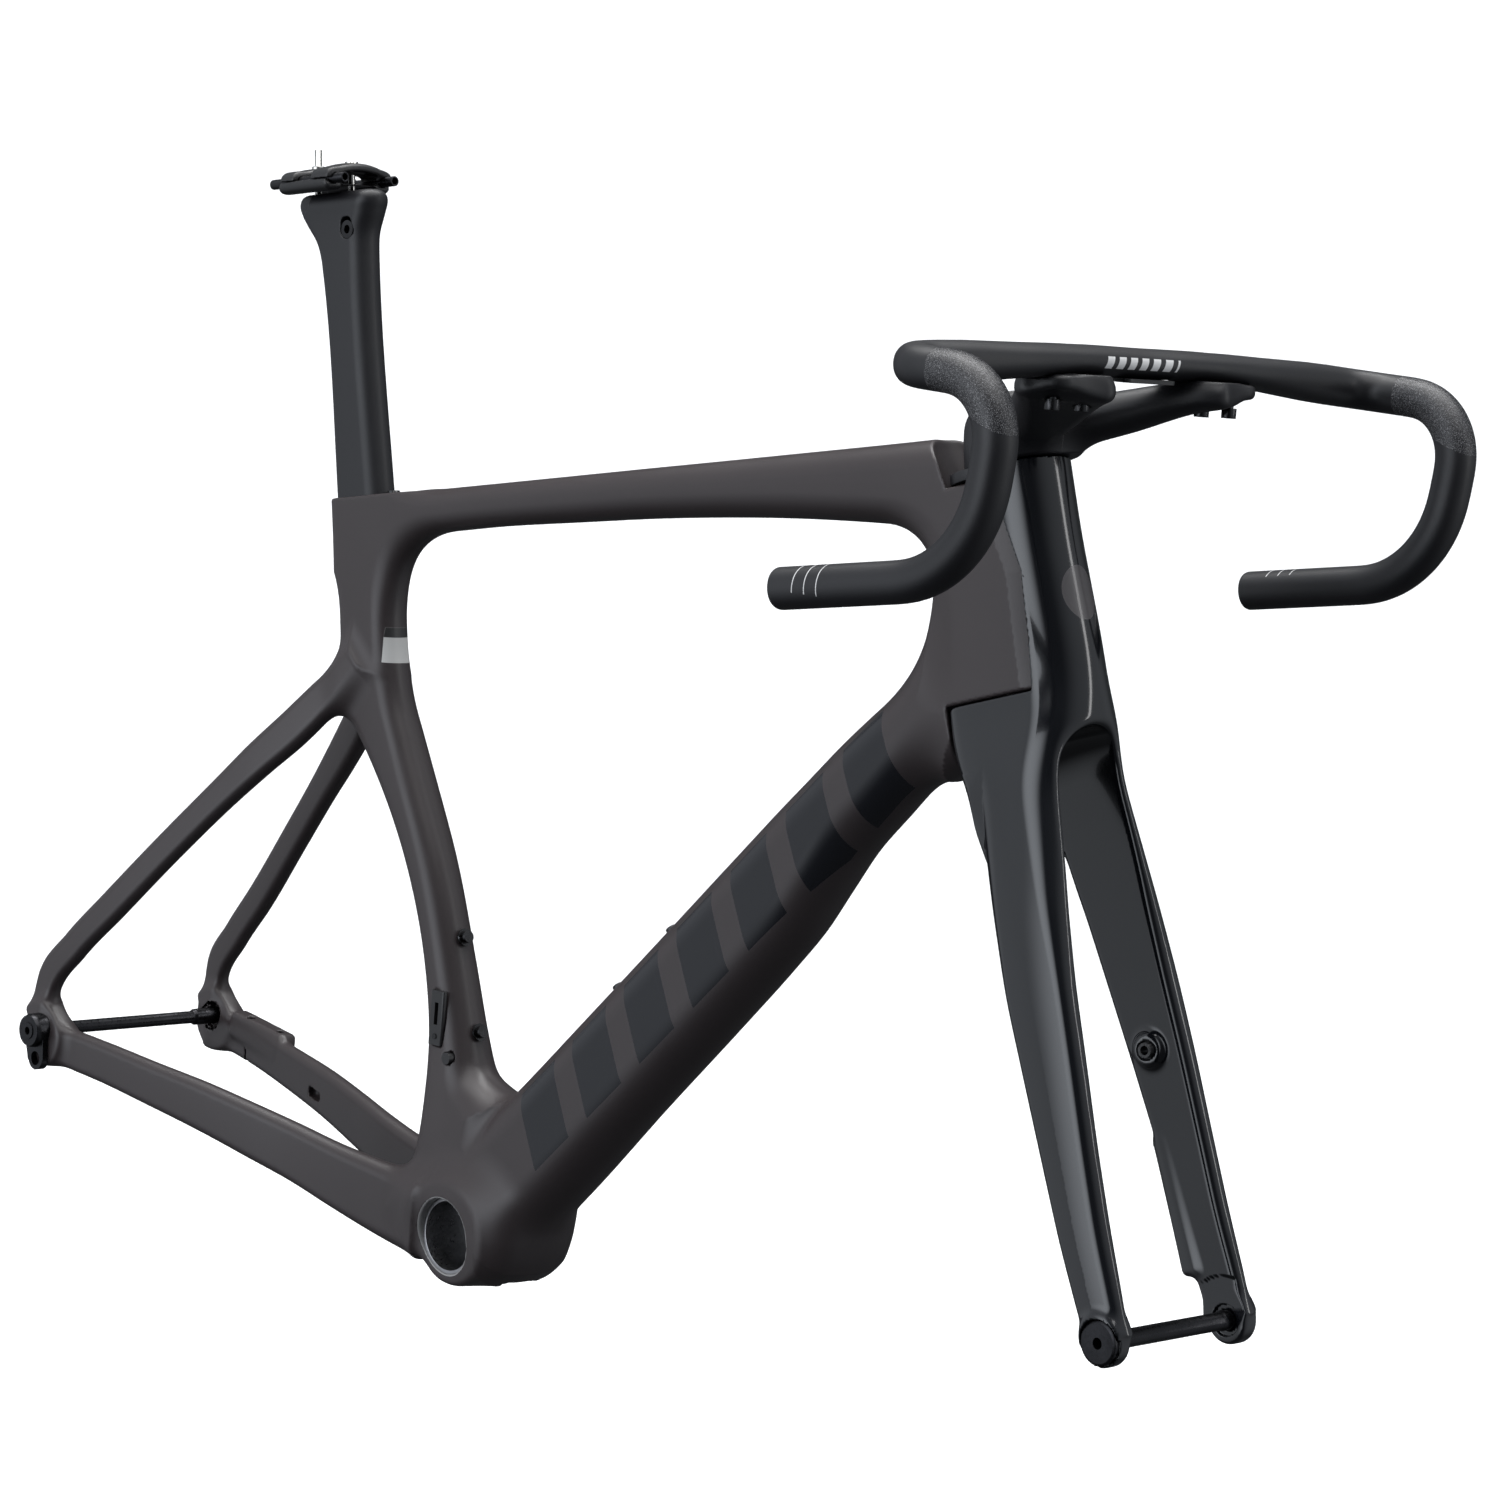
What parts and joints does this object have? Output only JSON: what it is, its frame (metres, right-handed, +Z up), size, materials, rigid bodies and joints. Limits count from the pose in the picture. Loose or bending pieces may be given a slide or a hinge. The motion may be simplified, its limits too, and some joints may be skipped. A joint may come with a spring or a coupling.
{
  "type": "bicycle frameset",
  "caption": "Aero road frameset: hollow frame, steering fork with V-shaped stem and drop handlebar, sliding seatpost with tilting rail clamp, and thru-axles.",
  "frame": {"origin": "centre of the bottom-bracket bore", "axes": "+X forward, +Y to the rider's left (the drive side is -Y), +Z up"},
  "size_m": [1.0284, 0.436, 0.742],
  "materials": {
    "grey_carbon": "satin dark warm grey paint on moulded carbon",
    "gloss_carbon": "gloss black paint on moulded carbon",
    "black_carbon": "matte black moulded carbon",
    "black_alloy": "black anodised",
    "black_bolt": "black oxide",
    "steel": "bright",
    "black_rubber": "matte"
  },
  "bodies": {
    "frame": {"head_tube": "grey_carbon", "top_tube": "grey_carbon", "down_tube": "grey_carbon", "seat_tube": "grey_carbon", "bottom_bracket_shell": "grey_carbon", "bottom_bracket_sleeve": "black_alloy", "seatstay_left": "grey_carbon", "seatstay_right": "grey_carbon", "chainstay_left": "grey_carbon", "chainstay_right": "grey_carbon", "dropout_left": "grey_carbon", "dropout_right": "grey_carbon", "derailleur_hanger": "black_alloy", "headset_bearing_lower": "steel", "headset_bearing_upper": "steel", "bottle_thread_sleeves": "black_bolt", "bottle_screws": "black_bolt", "derailleur_mount_cover": "black_alloy", "mount_cover_screw": "black_bolt", "wiring_port_plug": "black_alloy", "seatpost_clamp_wedge": "black_bolt", "seatpost_clamp_bolt": "black_bolt", "cable_port_cover": "black_alloy", "cable_port_screw": "black_bolt"},
    "fork": {"fork_crown": "gloss_carbon", "fork_leg_left": "gloss_carbon", "fork_leg_right": "gloss_carbon", "external_steerer": "gloss_carbon", "headset_race_lower": "steel", "headset_race_upper": "steel", "steerer_tie_rod": "black_bolt", "stem_spacer": "black_carbon", "stem": "black_carbon", "stem_bolts": "black_bolt", "bar_shims": "black_carbon", "bar_underside_cover": "black_carbon", "handlebar": "black_carbon", "brake_thread_inserts": "black_bolt", "hose_port_grommet": "black_rubber"},
    "seatpost": {"seatpost": "black_carbon", "clamp_barrel_nut": "black_bolt"},
    "saddle_clamp": {"rail_rods": "black_alloy", "rail_cradle": "black_alloy", "rail_clamp_top": "black_alloy", "clamp_bolt_front": "steel", "clamp_bolt_rear": "steel", "clamp_nut_rear": "steel"},
    "front_axle": {"front_axle": "black_alloy"},
    "rear_axle": {"rear_axle": "black_alloy"}
  },
  "joints": [
    {"name": "steering", "type": "hinge", "parent": "frame", "child": "fork", "pos_m": [0.397, 0, 0.56], "axis": [-0.284, 0, 0.9588], "range_deg": [-40, 40]},
    {"name": "seatpost_height", "type": "slide", "parent": "frame", "child": "seatpost", "axis": [-0.2079, 0, 0.9781], "range_m": [-0.04, 0.02]},
    {"name": "saddle_tilt", "type": "hinge", "parent": "seatpost", "child": "saddle_clamp", "pos_m": [-0.224, 0, 0.655], "axis": [0, 1, 0], "range_deg": [-6, 6]},
    {"name": "front_axle_pull", "type": "slide", "parent": "fork", "child": "front_axle", "axis": [0, -1, 0], "range_m": [0, 0.13]},
    {"name": "rear_axle_pull", "type": "slide", "parent": "frame", "child": "rear_axle", "axis": [0, 1, 0], "range_m": [0, 0.185]}
  ]
}
